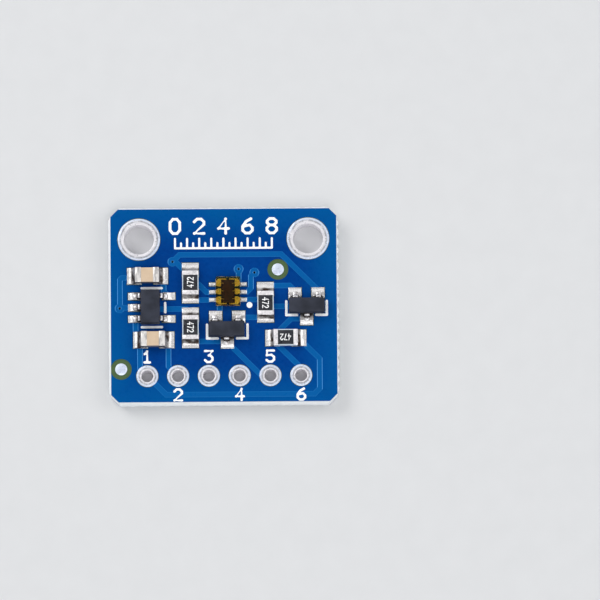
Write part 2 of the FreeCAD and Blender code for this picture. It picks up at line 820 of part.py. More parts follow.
def is_upright_corner(edge, half, tall):
    """Whether an edge is the outer upper corner of a cap, which runs across the chip."""
    middle = edge.CenterOfMass
    return abs(abs(middle.x) - half) < 1e-6 and abs(middle.z - tall) < 1e-6 and abs(middle.y) < 1e-6


# Capacitors: a plain ceramic block between two plated cups

def make_capacitor(name, turn):
    x, y = chip_place(name, turn)
    floor = pad_top + size.solder_film
    half, wide, tall = size.capacitor_length / 2, size.capacitor_width, size.capacitor_height
    cup = size.capacitor_cap_thickness

    ceramic = new_body(f"{name}_block", x, y, floor, turn)
    sketch = new_sketch(ceramic, "XZ_Plane")
    draw_box(sketch, cup - half, cup, half - cup, tall - cup)
    pad(ceramic, sketch, wide - cup * 2, both_ways=True)
    keep(ceramic, f"{name}_body")

    ends = new_body(f"{name}_ends", x, y, floor, turn)
    sketch = new_sketch(ends, "XZ_Plane")
    for side in (1, -1):
        draw_box(sketch, (half - size.capacitor_cap_reach) * side, zero, half * side, tall)
    pad(ends, sketch, wide, both_ways=True)
    bevel_edges(ends, size.capacitor_bevel,
                lambda edge: is_outer_edge(edge, float(half), float(wide), float(tall)))
    keep(cut_by(f"{name}_cups", ends, ceramic), f"{name}_terminals")

    make_chip_solder(name, "capacitor", table[f"{name}_x"], table[f"{name}_y"], turn)


def is_outer_edge(edge, half, wide, tall):
    """Whether an edge is the upper edge or an upright edge of an outer end face."""
    middle = edge.CenterOfMass
    on_end = abs(abs(middle.x) - half) < 1e-6
    on_side = abs(abs(middle.y) - wide / 2) < 1e-6
    on_top = abs(middle.z - tall) < 1e-6
    return on_end and (on_side or on_top)


# Moulded parts: leads bent out of a strip, each rooted in a drafted block

def make_moulded_part(name, family, turn, rows):
    own = {word: table[f"{family}_{word}"] for word in (
        "body_width", "body_length", "body_height", "stand_off", "span", "knee", "lead_width",
        "lead_thickness", "pitch", "pad_reach", "pad_length", "pad_width")}
    slip, drift = table[f"{name}_slip"], table[f"{name}_drift"]
    x, y = table[f"{name}_x"], table[f"{name}_y"]
    if turn:
        part_x, part_y = x - drift, y + slip
    else:
        part_x, part_y = x + slip, y + drift
    floor = pad_top + size.solder_film
    parting = own["stand_off"] + own["body_height"] / 2
    thick = own["lead_thickness"]
    knee = own["body_width"] / 2 + own["knee"]
    heel = knee + size.lead_shank_run
    root = own["body_width"] / 2 - size.lead_root
    toe = own["span"] / 2

    leads = new_body(f"{name}_lead_strip", part_x, part_y, floor, turn)
    section = [(root, parting - thick / 2), (knee - thick, parting - thick / 2), (heel - thick, zero),
               (toe, zero), (toe, thick), (heel, thick), (knee, parting + thick / 2),
               (root, parting + thick / 2)]
    for side, steps in zip((1, -1), rows):
        for step in steps:
            # The sketch faces along -Y, so a lift away from it is a step towards -Y
            sketch = new_sketch(leads, "XZ_Plane", own["pitch"] * -step)
            draw_outline(sketch, [(x * side, z) for x, z in section])
            pad(leads, sketch, own["lead_width"], both_ways=True)
    outer_bends = [(float(knee), float(parting + thick / 2)), (float(heel - thick), 0.0)]
    instep = [(float(heel), float(thick))]
    round_edges(leads, size.lead_bend, lambda edge: is_bend(edge, instep))
    round_edges(leads, size.lead_bend + thick / 2, lambda edge: is_bend(edge, outer_bends))
    keep(leads, f"{name}_leads")

    block = new_body(f"{name}_block", part_x, part_y, floor, turn)
    for downwards in (False, True):
        sketch = new_sketch(block, "XY_Plane", parting)
        draw_box(sketch, -own["body_width"] / 2, -own["body_length"] / 2,
                 own["body_width"] / 2, own["body_length"] / 2)
        pad(block, sketch, own["body_height"] / 2, downwards=downwards, draft=size.mould_draft)
    top = float(own["stand_off"] + own["body_height"])
    bevel_edges(block, size.mould_bevel, lambda edge: abs(edge.BoundBox.ZMin - top) < 1e-6)
    keep(cut_by(f"{name}_moulding", block, leads), f"{name}_body")

    joints = new_body(f"{name}_joints", x, y, pad_top, turn)
    for side, steps in zip((1, -1), rows):
        tip = toe + slip * side
        shin = heel + slip * side
        outer = own["pad_reach"] / 2
        inner = outer - own["pad_length"]
        edge, film = size.solder_edge, size.solder_film
        share = size.solder_hollow
        hollow = (tip + (outer - tip) * share, edge + (thick + film - edge) * share)
        for step in steps:
            sketch = new_sketch(joints, "XZ_Plane", own["pitch"] * -step)
            corners = [(inner, zero), (outer, zero), (outer, edge), (tip, thick + film),
                       (shin, thick + film), (inner, edge)]
            draw_outline(sketch, [(x * side, z) for x, z in corners], {2: (hollow[0] * side, hollow[1])})
            pad(joints, sketch, own["pad_width"], both_ways=True)
    keep(cut_by(f"{name}_fillets", joints, leads), f"{name}_solder")


def is_bend(edge, bends):
    """Whether an edge runs across the strip at one of its bends."""
    middle = edge.CenterOfMass
    level = abs(edge.BoundBox.ZMax - edge.BoundBox.ZMin) < 1e-6
    across = abs(edge.BoundBox.XMax - edge.BoundBox.XMin) < 1e-6
    return level and across and any(
        abs(abs(middle.x) - x) < 1e-6 and abs(middle.z - z) < 1e-6 for x, z in bends)


# Light sensor: a die on a gilt lead frame, wired to its fingers and moulded in clear resin

def make_sensor():
    floor = pad_top + size.solder_film
    x, y = size.sensor_x, size.sensor_y
    half_x, half_y = size.sensor_width / 2, size.sensor_length / 2

    frame = new_body("sensor_strip", x, y, floor)
    sketch = new_sketch(frame, "XY_Plane")
    tip, root = size.sensor_finger_tip / 2, size.sensor_finger_width / 2
    inner = half_x - size.sensor_finger_length
    taper = half_x - size.sensor_finger_length / 2
    bar_outer = half_y - size.sensor_bar_inset
    bar_inner = bar_outer - size.sensor_bar_width
    bar_end = size.sensor_paddle_width / 8
    for side in (1, -1):
        draw_outline(sketch, [(half_x * side, -tip), (half_x * side, tip), (taper * side, root),
                              (inner * side, root), (inner * side, -root), (taper * side, -root)])
        for end in (1, -1):
            pin = size.sensor_finger_spacing * end
            near, far = pin - root * end, pin + root * end
            draw_outline(sketch, [
                (half_x * side, pin - tip * end), (half_x * side, pin + tip * end),
                (taper * side, bar_outer * end), (bar_end * side, bar_outer * end),
                (bar_end * side, bar_inner * end), (inner * side, bar_inner * end),
                (inner * side, near), (taper * side, near)])
    paddle_x, paddle_y = size.sensor_paddle_width / 2, size.sensor_paddle_length / 2
    draw_box(sketch, -paddle_x, -paddle_y, paddle_x, paddle_y)
    pad(frame, sketch, size.sensor_frame_thickness)
    keep(frame, "sensor_lead_frame")

    die = new_body("sensor_chip", x, y, floor + size.sensor_frame_thickness)
    sketch = new_sketch(die, "XY_Plane")
    die_x, die_y = size.sensor_die_width / 2, size.sensor_die_length / 2
    draw_box(sketch, -die_x, -die_y, die_x, die_y)
    pad(die, sketch, size.sensor_die_thickness)
    keep(die, "sensor_die")

    wires = doc.addObject("Part::Feature", "sensor_loops")
    wires.Shape = Part.Compound(bond_wires(frame.Shape, die.Shape, float(floor)))
    keep(wires, "sensor_bond_wires")

    block = new_body("sensor_block", x, y, floor)
    sketch = new_sketch(block, "XY_Plane")
    draw_box(sketch, -half_x, -half_y, half_x, half_y)
    pad(block, sketch, size.sensor_height)
    tall = float(size.sensor_height)
    bevel_edges(block, size.sensor_bevel, lambda edge: abs(edge.BoundBox.ZMin - tall) < 1e-6)
    filling = doc.addObject("Part::Compound", "sensor_filling")
    filling.Links = [frame, die, wires]
    doc.recompute()
    keep(cut_by("sensor_moulding", block, filling), "sensor_housing")

    joints = new_body("sensor_joints", x, y, pad_top)
    film, edge = size.solder_film, size.solder_edge
    reach = size.sensor_pad_reach / 2
    for step in (-1, 0, 1):
        sketch = new_sketch(joints, "XZ_Plane", size.sensor_finger_spacing * -step)
        for side in (1, -1):
            corners = [(half_x - size.sensor_finger_length, zero), (reach, zero), (reach, edge),
                       (half_x, film + size.sensor_solder_height), (half_x, film),
                       (half_x - size.sensor_finger_length, film)]
            draw_outline(sketch, [(x * side, z) for x, z in corners])
        pad(joints, sketch, size.sensor_finger_tip, both_ways=True)
    keep(joints, "sensor_solder")


def bond_wires(frame, die, floor):
    """Six wires, each from the top of the die, over a low loop, to the top of a finger."""
    wire = float(size.sensor_wire)
    low = floor + float(size.sensor_frame_thickness)
    high = low + float(size.sensor_die_thickness)
    crest = high + float(size.sensor_wire_rise)
    middle_x, middle_y = float(size.sensor_x), float(size.sensor_y)
    on_die = float(size.sensor_die_width) / 2 - wire * 1.5
    on_finger = float(size.sensor_width / 2 - size.sensor_finger_length) + wire * 2.5
    loops = []
    for side in (1, -1):
        for step in (-1, 0, 1):
            y = middle_y + step * float(size.sensor_finger_spacing)
            stops = [(on_die, high), (on_die + wire, crest), (on_finger - wire * 2, crest), (on_finger, low)]
            points = [Vector(middle_x + side * x, y, z) for x, z in stops]
            rise = (points[1] - points[0]).normalize()
            outwards = rise.cross(Vector(0, 1, 0)) * side
            corners = [points[0] + Vector(0, across, 0) + outwards * deep
                       for across, deep in polygon(0, 0, wire, 8)]
            section = Part.makePolygon(corners + corners[:1])
            loop = Part.makePolygon(points).makePipeShell([section], True, False, 1)
            loops += loop.cut([frame, die]).Solids
    return loops


# Printed outlines: white ink on the mask

def make_outlines(mask):
    ink = float(size.ink_width)
    x, y = float(size.regulator_x), float(size.regulator_y)
    across, half = float(size.regulator_ink_across), float(size.regulator_ink_half_length)
    side, side_half = float(size.regulator_ink_side), float(size.regulator_ink_side_half)
    faces = strip([Vector(x + side, y - side_half, 0), Vector(x + side, y + side_half, 0)], ink)
    for level in (across, -across):
        faces += strip([Vector(x - half, y + level, 0), Vector(x + half, y + level, 0)], ink)
    for k in (1, 2):
        x, y = float(table[f"transistor_{k}_x"]), float(table[f"transistor_{k}_y"])
        top, bottom = y + float(size.bracket_top), y + float(size.bracket_bottom)
        for hand in (1, -1):
            outer = x + hand * float(size.bracket_half_length)
            inner = x + hand * float(size.bracket_opening)
            corner = Vector(outer, bottom, 0)
            faces += strip([Vector(outer, top, 0), corner, Vector(inner, bottom, 0)], ink)
    dot = Vector(float(size.pin_dot_x), float(size.pin_dot_y), 0)
    faces.append(Part.Face(Part.Wire(Part.makeCircle(float(size.pin_dot) / 2, dot))))
    print_layer = raised(faces, float(mask_top), float(size.ink_thickness)).cut(mask.Shape)
    outlines = doc.addObject("Part::Feature", "ink")
    outlines.Shape = Part.Compound(print_layer.Solids)
    return keep(outlines, "printed_outlines")


# The module, from the laminate up

make_laminate()
make_lower_mask()
for hole in holes_through_board():
    if hole[0].startswith("via"):
        make_via(*hole)
    else:
        make_plating(*hole)
make_fiducial("fiducial_upper", size.fiducial_upper_x, size.fiducial_upper_y)
make_fiducial("fiducial_lower", fiducial_lower_x, size.fiducial_lower_y)
note_pads()
tracks = routes()
upper_mask = make_upper_mask(make_copper(tracks), tracks)
make_outlines(upper_mask)
for resistor in (1, 2, 3):
    make_resistor(f"resistor_{resistor}", 90)
make_resistor("resistor_4", 0)
for capacitor in (1, 2):
    make_capacitor(f"capacitor_{capacitor}", 0)
for moulded in MOULDED_PARTS:
    make_moulded_part(*moulded)
make_sensor()
doc.recompute()

# Every object has to be sound before anything is written

for thing in doc.Objects:
    if "Invalid" in thing.State or "Error" in thing.State:
        raise RuntimeError(f"{thing.Label} is {thing.State}")
for node in nodes:
    if node.Shape.isNull() or not node.Shape.isValid() or not node.Shape.Solids:
        raise RuntimeError(f"{node.Label} has no sound solid")

os.makedirs("parts", exist_ok=True)
for node in nodes:
    node.Shape.exportStep(os.path.join("parts", f"{node.Label}.step"))
    print(f"{node.Label}: {len(node.Shape.Solids)} solids, {node.Shape.Volume:.4f} cubic mm")
print(f"{len(nodes)} sub-parts")
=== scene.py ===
"""The light sensor module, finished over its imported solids."""

import math

import bmesh
import bpy
from mathutils import Matrix, Vector, noise


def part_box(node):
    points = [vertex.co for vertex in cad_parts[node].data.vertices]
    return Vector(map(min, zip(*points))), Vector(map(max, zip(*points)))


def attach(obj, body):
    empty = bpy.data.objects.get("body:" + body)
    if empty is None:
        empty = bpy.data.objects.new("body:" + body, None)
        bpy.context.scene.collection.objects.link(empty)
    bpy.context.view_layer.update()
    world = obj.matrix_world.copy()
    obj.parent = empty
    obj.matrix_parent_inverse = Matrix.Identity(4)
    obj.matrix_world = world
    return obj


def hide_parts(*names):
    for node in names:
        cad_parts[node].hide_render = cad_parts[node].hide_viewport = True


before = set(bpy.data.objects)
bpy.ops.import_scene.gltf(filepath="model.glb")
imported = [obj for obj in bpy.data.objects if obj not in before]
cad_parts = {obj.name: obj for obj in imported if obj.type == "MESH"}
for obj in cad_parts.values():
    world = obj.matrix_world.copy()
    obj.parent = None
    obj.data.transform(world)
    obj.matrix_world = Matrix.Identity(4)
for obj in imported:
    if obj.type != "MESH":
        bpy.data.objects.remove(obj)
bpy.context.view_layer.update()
bpy.context.scene.view_settings.view_transform = "Standard"


# Camera: it looks down on the component side from 1.2 m, leaning 9 degrees towards the header
# edge, with the board left of the middle and the empty floor beside it.

LEAN, ROLL = 0.16100098, -0.00738875
DISTANCE, SHIFT_RIGHT, SHIFT_UP = 1.2, 0.0062899, 0.0004287
PICTURE_PIXELS, FOCAL_PIXELS, FILM_WIDTH = 600, 14534.715, 36
BOARD_TOP = Vector((0, 0, 0.0016))

back = Vector((0, -math.sin(LEAN), math.cos(LEAN)))
along = Vector((1, 0, 0))
upwards = Vector((0, math.cos(LEAN), math.sin(LEAN)))
right = along * math.cos(ROLL) + upwards * math.sin(ROLL)
top = upwards * math.cos(ROLL) - along * math.sin(ROLL)
camera = bpy.data.objects.new("camera", bpy.data.cameras.new("camera"))
bpy.context.scene.collection.objects.link(camera)
camera.data.sensor_width = FILM_WIDTH
camera.data.lens = FILM_WIDTH * FOCAL_PIXELS / PICTURE_PIXELS
camera.data.clip_start = 0.1
camera.data.clip_end = 10
where = BOARD_TOP + back * DISTANCE + right * SHIFT_RIGHT + top * SHIFT_UP
camera.matrix_world = Matrix((
    (right.x, top.x, back.x, where.x),
    (right.y, top.y, back.y, where.y),
    (right.z, top.z, back.z, where.z),
    (0, 0, 0, 1)))
bpy.context.scene.camera = camera


# Laminate: glass cloth in epoxy, olive where it shows through the mask's openings and whitish on
# the broken edge. The board was scored on both faces and snapped out of its panel, so the thin
# web between the two scores is ragged.

def tint(red, green, blue):
    """A screen colour of 0 to 255 as the light that a shader takes."""
    shares = [level / 255 for level in (red, green, blue)]
    light = [s / 12.92 if s <= 0.04045 else ((s + 0.055) / 1.055) ** 2.4 for s in shares]
    return (*light, 1.0)


class Finish:
    """A material built from nodes, with its pattern measured in millimetres on the piece."""

    def __init__(self, name, colour, roughness, metallic=0.0, shine=0.5):
        self.material = bpy.data.materials.new(name)
        self.material.use_nodes = True
        self.tree = self.material.node_tree
        self.shader = self.tree.nodes["Principled BSDF"]
        self.shader.inputs["Base Color"].default_value = colour
        self.shader.inputs["Roughness"].default_value = roughness
        self.shader.inputs["Metallic"].default_value = metallic
        self.shader.inputs["Specular IOR Level"].default_value = shine
        scale = self.node("ShaderNodeMapping")
        scale.inputs["Scale"].default_value = (1000, 1000, 1000)
        self.link(self.node("ShaderNodeTexCoord").outputs["Object"], scale.inputs["Vector"])
        self.place = scale.outputs["Vector"]

    def node(self, kind, **settings):
        made = self.tree.nodes.new(kind)
        for setting, value in settings.items():
            setattr(made, setting, value)
        return made

    def link(self, source, target):
        self.tree.links.new(source, target)

    def put(self, socket, value):
        """Link an output to a socket, or set the socket to a plain value."""
        if isinstance(value, bpy.types.NodeSocket):
            self.link(value, socket)
        else:
            socket.default_value = value

    def work(self, operation, first, second=0.0, third=0.0):
        made = self.node("ShaderNodeMath", operation=operation)
        for socket, value in zip(made.inputs, (first, second, third)):
            self.put(socket, value)
        return made.outputs["Value"]

    def stretched(self, x, y, z):
        """The place on the piece with each of its axes scaled."""
        made = self.node("ShaderNodeMapping")
        made.inputs["Scale"].default_value = (x, y, z)
        self.link(self.place, made.inputs["Vector"])
        return made.outputs["Vector"]

    def cloud(self, per_mm, detail=2.0, grain=0.5, place=None):
        """Smooth noise from 0 to 1, with so many swells to the millimetre."""
        made = self.node("ShaderNodeTexNoise")
        self.link(place or self.place, made.inputs["Vector"])
        made.inputs["Scale"].default_value = per_mm
        made.inputs["Detail"].default_value = detail
        made.inputs["Roughness"].default_value = grain
        return made.outputs["Fac"]

    def cells(self, per_mm, output="Distance", place=None):
        """A pattern of cells, with so many to the millimetre."""
        made = self.node("ShaderNodeTexVoronoi")
        self.link(place or self.place, made.inputs["Vector"])
        made.inputs["Scale"].default_value = per_mm
        return made.outputs[output]

    def ranged(self, value, low, high, at_low=0.0, at_high=1.0):
        """Spread the part of a value between low and high over another range, and hold the ends."""
        made = self.node("ShaderNodeMapRange", interpolation_type="SMOOTHSTEP")
        for socket, number in zip(made.inputs, (value, low, high, at_low, at_high)):
            self.put(socket, number)
        return made.outputs["Result"]

    def mixed(self, share, first, second):
        """Two colours, with so large a share of the second."""
        made = self.node("ShaderNodeMix", data_type="RGBA")
        self.put(made.inputs["Factor"], share)
        self.put(made.inputs[6], first)
        self.put(made.inputs[7], second)
        return made.outputs[2]

    def axes(self):
        """The place on the piece as its x, y and z in millimetres."""
        made = self.node("ShaderNodeSeparateXYZ")
        self.link(self.place, made.inputs["Vector"])
        return made.outputs

    def facing(self, axis="Z"):
        """One part of the surface's own direction: the upward one is 1 on a flat top."""
        split = self.node("ShaderNodeSeparateXYZ")
        self.link(self.node("ShaderNodeNewGeometry").outputs["True Normal"], split.inputs["Vector"])
        return split.outputs[axis]

    def nook(self, reach_mm):
        """How open a spot is: 1 out in the open, less where other surfaces stand within reach."""
        made = self.node("ShaderNodeAmbientOcclusion", samples=8)
        made.inputs["Distance"].default_value = reach_mm / 1000
        return made.outputs["AO"]

    def coloured(self, value):
        self.link(value, self.shader.inputs["Base Color"])

    def roughened(self, value):
        self.link(value, self.shader.inputs["Roughness"])

    def relief(self, height, depth_mm):
        """Raise the surface by a pattern, through the way that it takes the light."""
        made = self.node("ShaderNodeBump")
        made.inputs["Distance"].default_value = depth_mm / 1000
        made.inputs["Strength"].default_value = 1.0
        self.link(height, made.inputs["Height"])
        self.link(made.outputs["Normal"], self.shader.inputs["Normal"])


MM, METRES = Matrix.Scale(1000, 4), Matrix.Scale(0.001, 4)


def whole_copy(node, name):
    """A CAD piece's shape in millimetres, with its loose triangles joined into whole faces."""
    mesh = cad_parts[node].data.copy()
    mesh.materials.clear()
    mesh.transform(MM)
    piece = bpy.data.objects.new(name, mesh)
    bpy.context.scene.collection.objects.link(piece)
    bpy.ops.object.select_all(action="DESELECT")
    piece.select_set(True)
    bpy.context.view_layer.objects.active = piece
    bpy.ops.mesh.customdata_custom_splitnormals_clear()
    bpy.ops.object.mode_set(mode="EDIT")
    bpy.ops.mesh.select_all(action="SELECT")
    bpy.ops.mesh.remove_doubles(threshold=0.001)
    bpy.ops.mesh.dissolve_limited(angle_limit=math.radians(1))
    bpy.ops.object.mode_set(mode="OBJECT")
    return piece


def seat(piece, name, finish, slot, *nodes):
    """Bring a piece modelled in millimetres to the frame's metres, finish it and let it ride."""
    piece.name = name
    piece.data.transform(METRES)
    piece.data.materials.clear()
    piece.data.materials.append(finish.material)
    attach(piece, "root")
    if nodes:
        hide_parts(*nodes)


glass_cloth = Finish("glass_cloth", tint(112, 120, 78), 0.5, 0.0, 0.2)
fibres = glass_cloth.cloud(2.0, 4, 0.7, glass_cloth.stretched(1, 1, 9))
speck = glass_cloth.cloud(9.0, 3, 0.6)
strands = glass_cloth.ranged(fibres, 0.35, 0.65)
nicks = glass_cloth.ranged(speck, 0.60, 0.76, 0.0, 0.35)
# Painted shade: the broken edge is greyer in the score grooves and other nooks.
score_groove_shade = glass_cloth.ranged(glass_cloth.nook(0.25), 0.45, 0.80, 0.6, 0.0)
broken = glass_cloth.mixed(strands, tint(238, 245, 249), tint(253, 254, 255))
broken = glass_cloth.mixed(nicks, broken, tint(160, 188, 208))
broken = glass_cloth.mixed(score_groove_shade, broken, tint(126, 132, 140))
olive = glass_cloth.mixed(speck, tint(50, 80, 50), tint(94, 112, 70))
flatness = glass_cloth.ranged(glass_cloth.work("ABSOLUTE", glass_cloth.facing()), 0.95, 0.99)
glass_cloth.coloured(glass_cloth.mixed(flatness, broken, olive))
glass_cloth.relief(fibres, 0.03)


def divide(piece, cuts, chosen):
    """Divide the chosen edges of a piece, and the faces between them."""
    bpy.context.tool_settings.mesh_select_mode = (False, True, False)
    bpy.ops.object.mode_set(mode="EDIT")
    bpy.ops.mesh.select_all(action="DESELECT")
    bpy.ops.object.mode_set(mode="OBJECT")
    for edge in piece.data.edges:
        edge.select = chosen(*(piece.data.vertices[corner].co for corner in edge.vertices))
    bpy.ops.object.mode_set(mode="EDIT")
    bpy.ops.mesh.subdivide(number_cuts=cuts)
    bpy.ops.object.mode_set(mode="OBJECT")


def in_triangles(piece):
    """Divide a piece's faces into triangles, so that they hold their shape when corners move."""
    bpy.ops.object.mode_set(mode="EDIT")
    bpy.ops.mesh.select_all(action="SELECT")
    bpy.ops.mesh.quads_convert_to_tris(quad_method="BEAUTY", ngon_method="BEAUTY")
    bpy.ops.object.mode_set(mode="OBJECT")


BOARD_X, BOARD_Y, SCORE_REACH = 9.525, 8.255, 0.19
ON_RIM, RIM_CUTS, WALL_CUTS = 0.01, 150, 3
SCALLOP_PITCH = 0.72
# Each snapped edge: its axis, its side, and how deep its scallops and its ragged bites go.
SNAPPED = {"right": (0, 1, 0.075, 0.02), "left": (0, -1, 0.006, 0.02),
           "upper": (1, 1, 0.012, 0.05), "lower": (1, -1, 0.006, 0.03)}


def near_rim(point, reach):
    """Tell whether a point is within reach of one of the board's straight edges."""
    return abs(point.x) > BOARD_X - reach or abs(point.y) > BOARD_Y - reach


def along_score(a, b):
    """Tell whether two corners stand far apart in the strip from the rim to its score."""
    strip = SCORE_REACH + 0.02
    return (a - b).length > 12 and near_rim(a, strip) and near_rim(b, strip)


def up_the_wall(a, b):
    """Tell whether one of two corners on the rim stands well above the other."""
    return abs(a.z - b.z) > 0.5 and near_rim(a, ON_RIM) and near_rim(b, ON_RIM)


board = whole_copy("board_laminate", "board")
divide(board, RIM_CUTS, along_score)
divide(board, WALL_CUTS, up_the_wall)
in_triangles(board)
for vertex in board.data.vertices:
    for axis, side, scallop, ragged in SNAPPED.values():
        limit = (BOARD_X, BOARD_Y)[axis]
        if vertex.co[axis] * side > limit - ON_RIM:
            along_rim, level = vertex.co[1 - axis], vertex.co.z
            wobble = noise.noise(Vector((along_rim * 0.7, 0.0, 9.0 * side)))
            coarse = noise.noise(Vector((along_rim * 1.1, level * 0.6, 4.0 + axis)))
            splinters = noise.noise(Vector((along_rim * 5.0, level * 4.0, 7.0 * side)))
            bite = scallop * (1 + math.cos(math.tau * along_rim / SCALLOP_PITCH + 3 * wobble))
            bite += ragged * (0.5 + coarse) + ragged * 0.6 * splinters
            vertex.co[axis] = side * (limit - max(0.0, bite))
seat(board, "board", glass_cloth, "laminate", "board_laminate")


# Solder mask: a coat of blue lacquer over the laminate and the copper. It slopes down from each
# track, thinner and so paler on that shoulder, with a painted highlight there as well, brightest
# where the slope faces sideways, and is greener towards the board's edge.

mask_blue = Finish("mask_blue", tint(3, 70, 148), 0.3, 0.0, 0.05)
x_mm, y_mm, z_mm = mask_blue.axes()
rim_x = mask_blue.ranged(mask_blue.work("ABSOLUTE", x_mm), 5.5, 9.4)
rim_y = mask_blue.ranged(mask_blue.work("ABSOLUTE", y_mm), 4.5, 8.2)
rim = mask_blue.work("MULTIPLY", mask_blue.work("MAXIMUM", rim_x, rim_y), 0.85)
drift = mask_blue.cloud(0.35, 2, 0.5)
field = mask_blue.mixed(rim, tint(0, 54, 126), tint(0, 86, 150))
field = mask_blue.mixed(mask_blue.ranged(drift, 0.3, 0.7, 0.0, 0.35), field, tint(0, 68, 146))
weave = mask_blue.cells(3.2, "Distance", mask_blue.stretched(1, 1, 0.01))
field = mask_blue.mixed(mask_blue.ranged(weave, 0.1, 0.8, 0.0, 0.10), field, tint(6, 86, 168))
over_copper = mask_blue.ranged(z_mm, 1.604, 1.617)
shade = mask_blue.mixed(over_copper, field, tint(8, 90, 158))
# The shoulders' pale colour is partly thinner lacquer and partly painted highlight, brighter where
# a slope faces sideways.
shoulder = mask_blue.ranged(mask_blue.facing(), 0.97, 0.995, 1.0, 0.0)
shoulder = mask_blue.work("MULTIPLY", shoulder, mask_blue.ranged(z_mm, 1.59, 1.60))
sideways = mask_blue.ranged(mask_blue.work("ABSOLUTE", mask_blue.facing("X")), 0.30, 0.39)
glint = mask_blue.mixed(sideways, tint(20, 104, 172), tint(74, 150, 216))
mask_blue.coloured(mask_blue.mixed(shoulder, shade, glint))
peel = mask_blue.cloud(2.6, 3, 0.55)
mask_blue.roughened(mask_blue.ranged(peel, 0.2, 0.8, 0.24, 0.36))
mask_blue.relief(peel, 0.012)

MASK_FLAT, SAME_LEVEL, RIDGE_LEAST, SHOULDER = 1.600, 0.002, 0.01, 0.045
coat = whole_copy("solder_mask_top", "mask")
in_triangles(coat)
mesh = bmesh.new()
mesh.from_mesh(coat.data)
mesh.normal_update()
# The foot of each ridge moves out, away from the walls that meet there, so the ridge gets slopes.
moves = {}
for vertex in mesh.verts:
    if abs(vertex.co.z - MASK_FLAT) < SAME_LEVEL:
        walls = []
        for face in vertex.link_faces:
            heights = [corner.co.z for corner in face.verts]
            upright = abs(face.normal.z) < 0.1
            climbs = max(heights) > MASK_FLAT + RIDGE_LEAST
            starts_here = min(heights) > MASK_FLAT - SAME_LEVEL
            new = all(face.normal.dot(seen) < 0.99 for seen in walls)
            if upright and climbs and starts_here and new:
                walls.append(face.normal.copy())
        if walls:
            outwards = sum(walls, Vector())
            moves[vertex] = outwards * (SHOULDER * len(walls) / max(outwards.length_squared, 0.5))
for vertex, move in moves.items():
    vertex.co.x += move.x
    vertex.co.y += move.y
mesh.to_mesh(coat.data)
mesh.free()
seat(coat, "mask_component_side", mask_blue, "mask", "solder_mask_top")


def dress(finish, *names):
    """Give CAD pieces their material."""
    for name in names:
        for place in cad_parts[name].material_slots:
            place.material = finish.material


dress(mask_blue, "solder_mask_bottom")


# Tinned copper: each plated hole is a copper barrel with a ring on both faces, dipped in solder
# and blown level, so the metal is bright, thick at the corners and a little uneven, with a
# darker grey band halfway across each ring.

GREY_BAND_AT = 0.23
tinned = Finish("tinned_copper", tint(228, 230, 240), 0.34, 0.5)
ripple = tinned.cloud(2.8, 3, 0.6)
fine = tinned.cloud(7.0, 3, 0.6)
offset = tinned.node("ShaderNodeAttribute", attribute_name="from_axis")
length = tinned.node("ShaderNodeVectorMath", operation="LENGTH")
tinned.link(offset.outputs["Vector"], length.inputs[0])
reach = tinned.node("ShaderNodeAttribute", attribute_name="ring_reach")
from_rim = tinned.work("SUBTRACT", reach.outputs["Fac"], length.outputs["Value"])
sway = tinned.work("SUBTRACT", tinned.cloud(1.2, 2, 0.5), 0.5)
from_rim = tinned.work("MULTIPLY_ADD", sway, 0.12, from_rim)
from_grey_band = tinned.work("ABSOLUTE", tinned.work("SUBTRACT", from_rim, GREY_BAND_AT))
grey_band = tinned.ranged(from_grey_band, 0.02, 0.11, 1.0, 0.0)
grey_band = tinned.work("MULTIPLY", grey_band, tinned.ranged(ripple, 0.30, 0.60, 0.25, 1.0))
metal = tinned.mixed(tinned.ranged(from_rim, 0.10, 0.24), tint(224, 234, 252), tint(246, 244, 248))
tinned.coloured(tinned.mixed(grey_band, metal, tint(172, 174, 182)))
tinned.roughened(tinned.ranged(fine, 0.3, 0.7, 0.26, 0.46))
tinned.relief(tinned.work("ADD", ripple, tinned.work("MULTIPLY", fine, 0.25)), 0.03)


def eased(node, name, width, steps=2, sharp=40):
    """A CAD piece with its corners eased, as a dip, a mould or a tumble leaves them."""
    piece = whole_copy(node, name)
    bevel = piece.modifiers.new("ease", "BEVEL")
    bevel.width = width
    bevel.segments = steps
    bevel.limit_method = "ANGLE"
    bevel.angle_limit = math.radians(sharp)
    bevel.use_clamp_overlap = True
    bpy.ops.object.modifier_apply(modifier=bevel.name)
    bpy.ops.object.shade_smooth_by_angle(angle=math.radians(50))
    return piece


PLATED_HOLES = ["mounting_plating_left", "mounting_plating_right"]
PLATED_HOLES += [f"header_plating_{k}" for k in range(1, 7)]
for node in PLATED_HOLES:
    ring = eased(node, f"{node}_dipped", 0.03, 3)
    low, high = (Vector(corner) * 1000 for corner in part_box(node))
    spokes = [(vertex.co - (low + high) / 2) * Vector((1, 1, 0)) for vertex in ring.data.vertices]
    from_axis = ring.data.attributes.new("from_axis", "FLOAT_VECTOR", "POINT")
    from_axis.data.foreach_set("vector", [number for spoke in spokes for number in spoke])
    ring_reach = ring.data.attributes.new("ring_reach", "FLOAT", "POINT")
    ring_reach.data.foreach_set("value", [(high - low).x / 2] * len(spokes))
    seat(ring, ring.name, tinned, "tinned_copper", node)
for node in ("fiducial_upper", "fiducial_lower"):
    dot = eased(node, f"{node}_dipped", 0.02)
    seat(dot, dot.name, tinned, "tinned_copper", node)
dress(tinned, "copper_layer", *(f"via_{k}" for k in range(1, 5)))


# Printed ink: white epoxy ink, screened on the mask, a little thin and ragged at its edges. The
# plain numbers count the header holes, and the scale along the upper edge is in millimetres.

ink = Finish("white_ink", tint(254, 255, 255), 0.55)
blot = ink.cloud(5.0, 3, 0.6)
ink.coloured(ink.mixed(ink.ranged(blot, 0.56, 0.78), tint(254, 255, 255), tint(222, 234, 246)))
ink.relief(blot, 0.006)
dress(ink, "printed_outlines")

